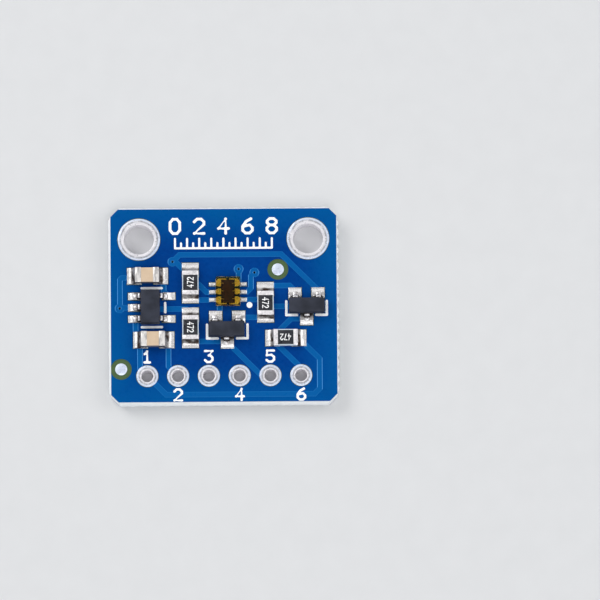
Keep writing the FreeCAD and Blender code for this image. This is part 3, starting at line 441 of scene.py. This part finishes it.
# The digits as strokes of a pen, each in a box 0.7 wide and 1.05 tall.
DIGIT_WIDE, DIGIT_TALL = 0.7, 1.05
STROKES = {
    "0": [[(0, .25), (.2, 0), (.5, 0), (.7, .25), (.7, .8), (.5, 1.05), (.2, 1.05), (0, .8),
           (0, .25)]],
    "1": [[(.12, .8), (.35, 1.05), (.35, 0)], [(.1, 0), (.6, 0)]],
    "2": [[(0, .85), (.2, 1.05), (.5, 1.05), (.7, .85), (.7, .65), (0, 0), (.7, 0)]],
    "3": [[(0, 1.05), (.7, 1.05), (.35, .62), (.5, .62), (.7, .42), (.7, .2), (.5, 0), (.2, 0),
           (0, .18)]],
    "4": [[(.52, 0), (.52, 1.05), (0, .35), (.72, .35)]],
    "5": [[(.68, 1.05), (.05, 1.05), (.02, .6), (.45, .65), (.7, .45), (.7, .2), (.5, 0), (.2, 0),
           (0, .15)]],
    "6": [[(.6, 1.05), (.25, .85), (0, .5), (0, .2), (.2, 0), (.5, 0), (.7, .2), (.7, .4), (.5, .6),
           (.05, .5)]],
    "7": [[(0, 1.05), (.7, 1.05), (.25, 0)]],
    "8": [[(.2, .58), (.02, .75), (.02, .88), (.2, 1.05), (.5, 1.05), (.68, .88), (.68, .75),
           (.5, .58), (.2, .58), (0, .38), (0, .2), (.2, 0), (.5, 0), (.7, .2), (.7, .38),
           (.5, .58)]],
}


def pen_lines(name, lines, width, bottom, height):
    """Lines of ink with round ends, drawn as cords, melted together and pressed flat."""
    drawing = bpy.data.curves.new(name, "CURVE")
    drawing.dimensions = "3D"
    drawing.bevel_depth = width / 2
    drawing.bevel_resolution = 2
    drawing.use_fill_caps = True
    for line in lines:
        spline = drawing.splines.new("POLY")
        spline.points.add(len(line) - 1)
        for point, (x, y) in zip(spline.points, line):
            point.co = (x, y, 0, 1)
    cord = bpy.data.objects.new(name, drawing)
    bpy.context.scene.collection.objects.link(cord)
    bpy.ops.object.select_all(action="DESELECT")
    cord.select_set(True)
    bpy.context.view_layer.objects.active = cord
    bpy.ops.object.convert(target="MESH")
    cord = bpy.context.object
    bpy.ops.object.mode_set(mode="EDIT")
    bpy.ops.mesh.select_all(action="DESELECT")
    for x, y in sorted({point for line in lines for point in line}):
        bpy.ops.mesh.primitive_uv_sphere_add(
            segments=12, ring_count=6, radius=width / 2, location=(x, y, 0))
    bpy.ops.object.mode_set(mode="OBJECT")
    melt = cord.modifiers.new("melt", "REMESH")
    melt.mode = "VOXEL"
    melt.voxel_size = width / 6
    bpy.ops.object.modifier_apply(modifier=melt.name)
    press = Matrix.Diagonal((1, 1, height / width, 1))
    cord.data.transform(Matrix.Translation((0, 0, bottom + height / 2)) @ press)
    bpy.ops.object.shade_smooth()
    return cord


def number_lines(digits, middle_x, middle_y, tall, narrow=1.0):
    """The strokes of a number, centred on a point."""
    scale = tall / DIGIT_TALL
    wide = scale * narrow
    step = wide * 1.1
    left = middle_x - (step * (len(digits) - 1) + DIGIT_WIDE * wide) / 2
    return [[(left + k * step + x * wide, middle_y - tall / 2 + y * scale) for x, y in line]
            for k, digit in enumerate(digits) for line in STROKES[digit]]


INK_BOTTOM, INK_HEIGHT = 1.6, 0.034
FIRST_HOLE_X, PITCH, ABOVE_HOLES, BELOW_HOLES, HOLE_NUMBER_TALL = -6.35, 2.54, -4.28, -7.47, 0.92
SCALE_START, SCALE_LENGTH, SCALE_LINE, LONG_MARK, SHORT_MARK = -4.0, 8, 4.78, 5.58, 5.2
SCALE_NUMBERS_Y, SCALE_NUMBER_TALL = 6.62, 1.2
hole_numbers = []
for hole in range(6):
    hole_numbers += number_lines(str(hole + 1), FIRST_HOLE_X + PITCH * hole,
                                 BELOW_HOLES if hole % 2 else ABOVE_HOLES, HOLE_NUMBER_TALL)
scale_numbers = []
for value in range(0, SCALE_LENGTH + 1, 2):
    scale_numbers += number_lines(str(value), SCALE_START + value, SCALE_NUMBERS_Y,
                                  SCALE_NUMBER_TALL)
scale_marks = [[(SCALE_START, SCALE_LINE), (SCALE_START + SCALE_LENGTH, SCALE_LINE)]]
for half_mm in range(2 * SCALE_LENGTH + 1):
    x = SCALE_START + half_mm / 2
    scale_marks.append([(x, SCALE_LINE), (x, SHORT_MARK if half_mm % 2 else LONG_MARK)])
for name, lines, pen in (("hole_numbers", hole_numbers, 0.215),
                         ("scale_numbers", scale_numbers, 0.25),
                         ("scale_marks", scale_marks, 0.18)):
    seat(pen_lines(name, lines, pen, INK_BOTTOM, INK_HEIGHT), name, ink, "white_ink")


# Solder: each joint was printed as paste and melted, so it wets its pad, climbs the terminal in a
# hollow curve and sets bright, with a dull or brown film where flux dried on it. Much of its dark
# colour is painted: painted shade in nooks, where it climbs to the terminal and on slopes facing
# the header side, and painted reflection on its steep slopes.

def joint_finish(name, low, high, shaded):
    """Bright solder, darkened to brown-grey by painted shade in nooks, where it climbs from one
    height to another and on slopes facing the header side, and by painted reflection on steep
    slopes;
    patches that stand for flux vary how dark the slopes get.
    """
    solder = Finish(name, tint(236, 234, 234), 0.2, 0.5)
    swell = solder.cloud(1.3, 3, 0.6)
    grain = solder.cloud(6.0, 4, 0.6)
    # Patches that stand for flux vary the strength of the painted shade and reflection on the
    # slopes.
    flux_and_shade_patches = solder.ranged(solder.cloud(1.6, 2, 0.5), 0.38, 0.58, 0.6, 1.0)
    # Painted reflection darkens the steep slopes, and painted shadow the band where it climbs.
    steep = solder.ranged(solder.facing(), 0.35, 0.75, 1.0, 0.0)
    climb = solder.ranged(solder.axes()["Z"], low, high)
    metal = solder.mixed(solder.ranged(grain, 0.45, 0.75), tint(252, 249, 248), tint(206, 203, 202))
    # The dark colour is partly brown flux and partly painted shade.
    residue_and_shade = solder.mixed(solder.ranged(swell, 0.4, 0.6), tint(52, 34, 22), tint(62, 58, 56))
    # Painted shade on slopes that face the header side.
    header_side_shade = solder.ranged(solder.facing("Y"), -0.45, -0.12, shaded, 0.0)
    dark = solder.work("MAXIMUM", solder.work("MAXIMUM", steep, climb), header_side_shade)
    dark = solder.work("MULTIPLY", flux_and_shade_patches, dark)
    # Painted shade in nooks.
    dark = solder.work("MAXIMUM", dark, solder.ranged(solder.nook(0.35), 0.56, 0.80, 0.95, 0.0))
    solder.coloured(solder.mixed(dark, metal, residue_and_shade))
    solder.roughened(solder.ranged(grain, 0.3, 0.7, 0.16, 0.36))
    solder.relief(solder.work("ADD", swell, solder.work("MULTIPLY", grain, 0.2)), 0.05)
    return solder


def melted(node, name, voxel, lump):
    """A joint's solid drawn smooth, as the melt leaves it, with slight lumps."""
    piece = whole_copy(node, name)
    melt = piece.modifiers.new("melt", "REMESH")
    melt.mode = "VOXEL"
    melt.voxel_size = voxel
    bpy.ops.object.modifier_apply(modifier=melt.name)
    calm = piece.modifiers.new("calm", "SMOOTH")
    calm.factor = 0.5
    calm.iterations = 4
    bpy.ops.object.modifier_apply(modifier=calm.name)
    floor = min(vertex.co.z for vertex in piece.data.vertices)
    for vertex in piece.data.vertices:
        if vertex.co.z > floor + 0.03:
            vertex.co += vertex.normal * noise.noise(vertex.co * 2.2) * lump
    bpy.ops.object.shade_smooth()
    return piece


chip_joint = joint_finish("chip_solder", 1.67, 1.76, 1.0)
lead_joint = joint_finish("lead_solder", 1.75, 1.81, 0.0)
LUMP, VOXEL, FINE_VOXEL = 0.02, 0.03, 0.022
MOULDED = ["regulator", "transistor_1", "transistor_2"]
chips = [f"resistor_{k}" for k in range(1, 5)] + ["capacitor_1", "capacitor_2"]
for kind in chips + MOULDED + ["sensor"]:
    node = f"{kind}_solder"
    joint = melted(node, f"{node}_set", FINE_VOXEL if kind == "sensor" else VOXEL, LUMP)
    seat(joint, joint.name, chip_joint if kind in chips else lead_joint, "solder", node)


# Resistors: a white ceramic slab with a plated cap wrapped round each end and a dark glass coat on
# top, which carries a plain number.

ceramic = Finish("white_ceramic", tint(222, 224, 222), 0.6)
pores = ceramic.cloud(8.0, 3, 0.6)
ceramic.coloured(ceramic.mixed(pores, tint(188, 204, 218), tint(222, 230, 236)))
ceramic.relief(pores, 0.01)
glaze = Finish("dark_glaze", tint(34, 34, 38), 0.3)
haze = glaze.cloud(3.0, 3, 0.6)
glaze.coloured(glaze.mixed(haze, tint(20, 21, 27), tint(46, 48, 56)))
glaze.roughened(glaze.ranged(haze, 0.3, 0.7, 0.25, 0.42))
glaze.relief(haze, 0.012)
plated = Finish("plated_cap", tint(236, 232, 234), 0.36, 0.4)
brushed = plated.cloud(5.0, 4, 0.65)
clean = plated.mixed(plated.ranged(brushed, 0.42, 0.72), tint(246, 242, 244), tint(190, 188, 190))
# Painted shade: the caps' upright ends are darker than their tops.
plated.coloured(plated.mixed(plated.ranged(plated.facing(), 0.2, 0.6), tint(96, 90, 88), clean))
plated.roughened(plated.ranged(brushed, 0.3, 0.7, 0.3, 0.5))
plated.relief(brushed, 0.025)

COAT_TOP, SUNK = 2.155, 0.004
for k, turn in ((1, 90), (2, -90), (3, -90), (4, 180)):
    name = f"resistor_{k}"
    dress(ceramic, f"{name}_body")
    caps = eased(f"{name}_terminals", f"{name}_caps", 0.02)
    seat(caps, caps.name, plated, "chip_terminals", f"{name}_terminals")
    glass = eased(f"{name}_coat", f"{name}_glass", 0.03, 3)
    middle = sum((corner.co for corner in glass.data.vertices), Vector()) / len(glass.data.vertices)
    seat(glass, glass.name, glaze, "dark_glaze", f"{name}_coat")
    mark = pen_lines(f"{name}_number", number_lines("472", 0, 0, 0.48, 0.62), 0.09, 0, 0.02)
    turned = Matrix.Rotation(math.radians(turn), 4, "Z")
    mark.data.transform(Matrix.Translation((middle.x, middle.y, COAT_TOP - SUNK)) @ turned)
    seat(mark, mark.name, ink, "white_ink")


# Capacitors: a block of tan layered ceramic between two cup-shaped plated ends, which were
# dipped, so they are rounded and slightly uneven.

tan = Finish("tan_ceramic", tint(218, 194, 166), 0.5, 0.0, 0.3)
bake = tan.cloud(2.0, 3, 0.6)
# Painted shade: the ceramic's upright sides are a darker grey than its top.
side_shade = tan.ranged(tan.facing(), 0.2, 0.7)
warm = tan.mixed(bake, tint(200, 174, 144), tint(220, 198, 172))
tan.coloured(tan.mixed(side_shade, tint(120, 122, 130), warm))
tan.relief(bake, 0.015)
cup = Finish("dipped_cup", tint(238, 234, 230), 0.34, 0.35)
dip = cup.cloud(4.0, 4, 0.6, cup.stretched(1, 0.3, 1))
clean = cup.mixed(cup.ranged(dip, 0.42, 0.66), tint(240, 236, 232), tint(170, 168, 168))
# Painted shade: the cups' upright ends are darker than their tops.
cup.coloured(cup.mixed(cup.ranged(cup.facing(), 0.2, 0.6), tint(92, 88, 86), clean))
cup.roughened(cup.ranged(dip, 0.3, 0.7, 0.28, 0.48))
cup.relief(dip, 0.03)
for k in (1, 2):
    name = f"capacitor_{k}"
    dress(tan, f"{name}_body")
    cups = eased(f"{name}_terminals", f"{name}_cups", 0.025, 2, 30)
    seat(cups, cups.name, cup, "chip_terminals", f"{name}_terminals")


# Regulator and transistors: black epoxy moulded round a plated lead strip, which was then cut and
# bent down to the pads. The mould leaves a fine matt grain and slightly rounded corners.

epoxy = Finish("black_epoxy", tint(50, 53, 63), 0.5, 0.0, 0.3)
matt = epoxy.cloud(12.0, 3, 0.6)
blush = epoxy.cloud(0.8, 2, 0.5)
epoxy.coloured(epoxy.mixed(epoxy.ranged(blush, 0.3, 0.7), tint(30, 34, 45), tint(47, 51, 64)))
epoxy.roughened(epoxy.ranged(matt, 0.3, 0.7, 0.42, 0.62))
epoxy.relief(matt, 0.012)
lead = Finish("plated_lead", tint(232, 230, 232), 0.3, 0.5)
scuff = lead.cloud(5.0, 3, 0.6)
clean = lead.mixed(lead.ranged(scuff, 0.45, 0.75), tint(246, 244, 246), tint(190, 189, 193))
below_knee = lead.ranged(lead.axes()["Z"], 2.10, 2.16, 1.0, 0.0)
# Painted shade on the sloping shank below the knee.
bent = lead.work("MULTIPLY", below_knee, lead.ranged(lead.facing(), 0.93, 0.99, 1.0, 0.0))
patches = lead.ranged(lead.cloud(2.4, 2, 0.5), 0.48, 0.64, 0.0, 0.55)
stain = lead.work("MULTIPLY", below_knee, patches)
clean = lead.mixed(stain, clean, tint(132, 116, 108))
# Painted shade in nooks, such as the bend down to the foot.
bent = lead.work("MAXIMUM", bent, lead.ranged(lead.nook(0.35), 0.58, 0.84, 1.0, 0.0))
clean = lead.mixed(bent, clean, tint(54, 42, 40))
# Painted shade on the leads' upright faces.
lead.coloured(lead.mixed(lead.ranged(lead.facing(), 0.25, 0.75), tint(60, 50, 48), clean))
lead.roughened(lead.ranged(scuff, 0.3, 0.7, 0.22, 0.42))
lead.relief(scuff, 0.02)
for name in MOULDED:
    moulding = eased(f"{name}_body", f"{name}_moulding", 0.02, 2, 20)
    seat(moulding, moulding.name, epoxy, "moulding", f"{name}_body")
    strip = eased(f"{name}_leads", f"{name}_strip", 0.012, 1, 60)
    seat(strip, strip.name, lead, "plated_leads", f"{name}_leads")


# Light sensor: a die glued to a gilt lead frame and wired to its fingers, in a block of clear
# resin that lets the light through.

gilt = Finish("gilt_frame", tint(250, 226, 150), 0.3, 0.5)
polish = gilt.cloud(5.0, 3, 0.6)
plating = gilt.mixed(gilt.ranged(polish, 0.35, 0.7), tint(255, 234, 140), tint(224, 180, 76))
# The frame is dark with glue round the die, and has painted shade in the gaps between its fingers
# and its halves and at its two far ends.
SENSOR_X, SENSOR_Y, PADDLE_X, PADDLE_Y, SLIT_Y = 0.35, 1.1, 0.5, 0.96, 0.325
x_mm, y_mm, z_mm = gilt.axes()
from_middle_x = gilt.work("ABSOLUTE", gilt.work("SUBTRACT", x_mm, SENSOR_X))
from_middle_y = gilt.work("ABSOLUTE", gilt.work("SUBTRACT", y_mm, SENSOR_Y))
from_slit = gilt.work("ABSOLUTE", gilt.work("SUBTRACT", from_middle_y, SLIT_Y))
on_paddle = gilt.work("MULTIPLY", gilt.ranged(from_middle_x, PADDLE_X, PADDLE_X + 0.02, 1.0, 0.0),
                      gilt.ranged(from_middle_y, PADDLE_Y, PADDLE_Y + 0.01, 1.0, 0.0))
glued = gilt.work("MULTIPLY", on_paddle, gilt.ranged(z_mm, 1.80, 1.81, 1.0, 0.0))
slit = gilt.ranged(from_slit, 0.075, 0.09, 1.0, 0.0)
split = gilt.ranged(from_middle_x, 0.10, 0.12, 1.0, 0.0)
rim = gilt.ranged(from_middle_y, 1.05, 1.06)
glue_and_shade = gilt.work("MAXIMUM", gilt.work("MAXIMUM", glued, slit), gilt.work("MAXIMUM", split, rim))
gilt.coloured(gilt.mixed(glue_and_shade, plating, gilt.mixed(polish, tint(40, 16, 6), tint(66, 30, 16))))
gilt.roughened(gilt.ranged(polish, 0.3, 0.7, 0.22, 0.42))
dress(gilt, "sensor_lead_frame", "sensor_bond_wires")
silicon = Finish("silicon", tint(66, 40, 30), 0.28)
tone = silicon.node("ShaderNodeSeparateColor")
silicon.link(silicon.cells(5.0, "Color"), tone.inputs["Color"])
silicon.coloured(silicon.mixed(tone.outputs["Red"], tint(34, 8, 2), tint(60, 22, 8)))
dress(silicon, "sensor_die")
resin = Finish("clear_resin", tint(228, 206, 108), 0.04, 0.0, 0.15)
resin.shader.inputs["Transmission Weight"].default_value = 1.0
resin.shader.inputs["IOR"].default_value = 1.5
ripples = resin.cloud(3.0, 2, 0.5)
resin.relief(ripples, 0.004)

FLUSH, EASED = Vector((0.002, 0.002, 0.002)), 0.035
low, high = (Vector(corner) * 1000 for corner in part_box("sensor_housing"))
middle, spans = (low + high) / 2, high - low - FLUSH * 2
bpy.ops.object.select_all(action="DESELECT")
bpy.ops.mesh.primitive_cube_add(size=1)
block = bpy.context.object
block.data.transform(Matrix.Translation(middle) @ Matrix.Diagonal((*spans, 1)))
bpy.context.tool_settings.mesh_select_mode = (False, True, False)
bpy.ops.object.mode_set(mode="EDIT")
bpy.ops.mesh.select_all(action="DESELECT")
bpy.ops.object.mode_set(mode="OBJECT")
for edge in block.data.edges:
    edge.select = all(block.data.vertices[corner].co.z > middle.z for corner in edge.vertices)
bpy.ops.object.mode_set(mode="EDIT")
bpy.ops.mesh.bevel(offset=EASED, segments=3, affect="EDGES")
bpy.ops.object.mode_set(mode="OBJECT")
bpy.ops.object.shade_smooth_by_angle(angle=math.radians(40))
seat(block, "sensor_resin", resin, "clear_resin", "sensor_housing")


# Stand: a plain pale floor under soft lights. The sky is dim overhead and pale lower down, so the
# lacquer stays deep and the metal has something to mirror.

bpy.ops.mesh.primitive_plane_add(size=4, location=(0, 0, -0.00002))
ground = bpy.context.object
ground.name = "ground"
paper = Finish("pale_paper", tint(214, 215, 216), 0.8)
ground.data.materials.append(paper.material)
tooth = paper.cloud(0.5, 2, 0.5)
paper.coloured(paper.mixed(tooth, tint(212, 213, 214), tint(217, 218, 219)))

sky = bpy.data.worlds.new("sky")
bpy.context.scene.world = sky
sky.use_nodes = True
wiring = sky.node_tree
glow = wiring.nodes["Background"]
direction = wiring.nodes.new("ShaderNodeTexCoord")
height = wiring.nodes.new("ShaderNodeSeparateXYZ")
bands = wiring.nodes.new("ShaderNodeValToRGB")
wiring.links.new(direction.outputs["Generated"], height.inputs["Vector"])
wiring.links.new(height.outputs["Z"], bands.inputs["Fac"])
wiring.links.new(bands.outputs["Color"], glow.inputs["Color"])
bands.color_ramp.elements[0].position = 0.05
bands.color_ramp.elements[0].color = (0.34, 0.34, 0.35, 1)
bands.color_ramp.elements[1].position = 0.98
bands.color_ramp.elements[1].color = (0.12, 0.12, 0.13, 1)
for level, grey in ((0.40, 0.80), (0.80, 0.72)):
    bands.color_ramp.elements.new(level).color = (grey, grey * 1.01, grey * 1.03, 1)
glow.inputs["Strength"].default_value = 1.0

LAMPS_AWAY = 0.4
for name, direction, power, spread in (
        ("key_light", (-0.55, 0.45, 0.70), 0.55, 0.22),
        ("fill_light", (0.70, 0.05, 0.71), 0.30, 0.25),
        ("front_light", (0.05, -0.45, 0.88), 0.32, 0.20)):
    lamp = bpy.data.objects.new(name, bpy.data.lights.new(name, "AREA"))
    lamp.data.energy = power
    lamp.data.size = spread
    lamp.location = Vector(direction).normalized() * LAMPS_AWAY
    lamp.rotation_euler = Vector(direction).to_track_quat("Z", "Y").to_euler()
    lamp.visible_camera = False
    bpy.context.scene.collection.objects.link(lamp)
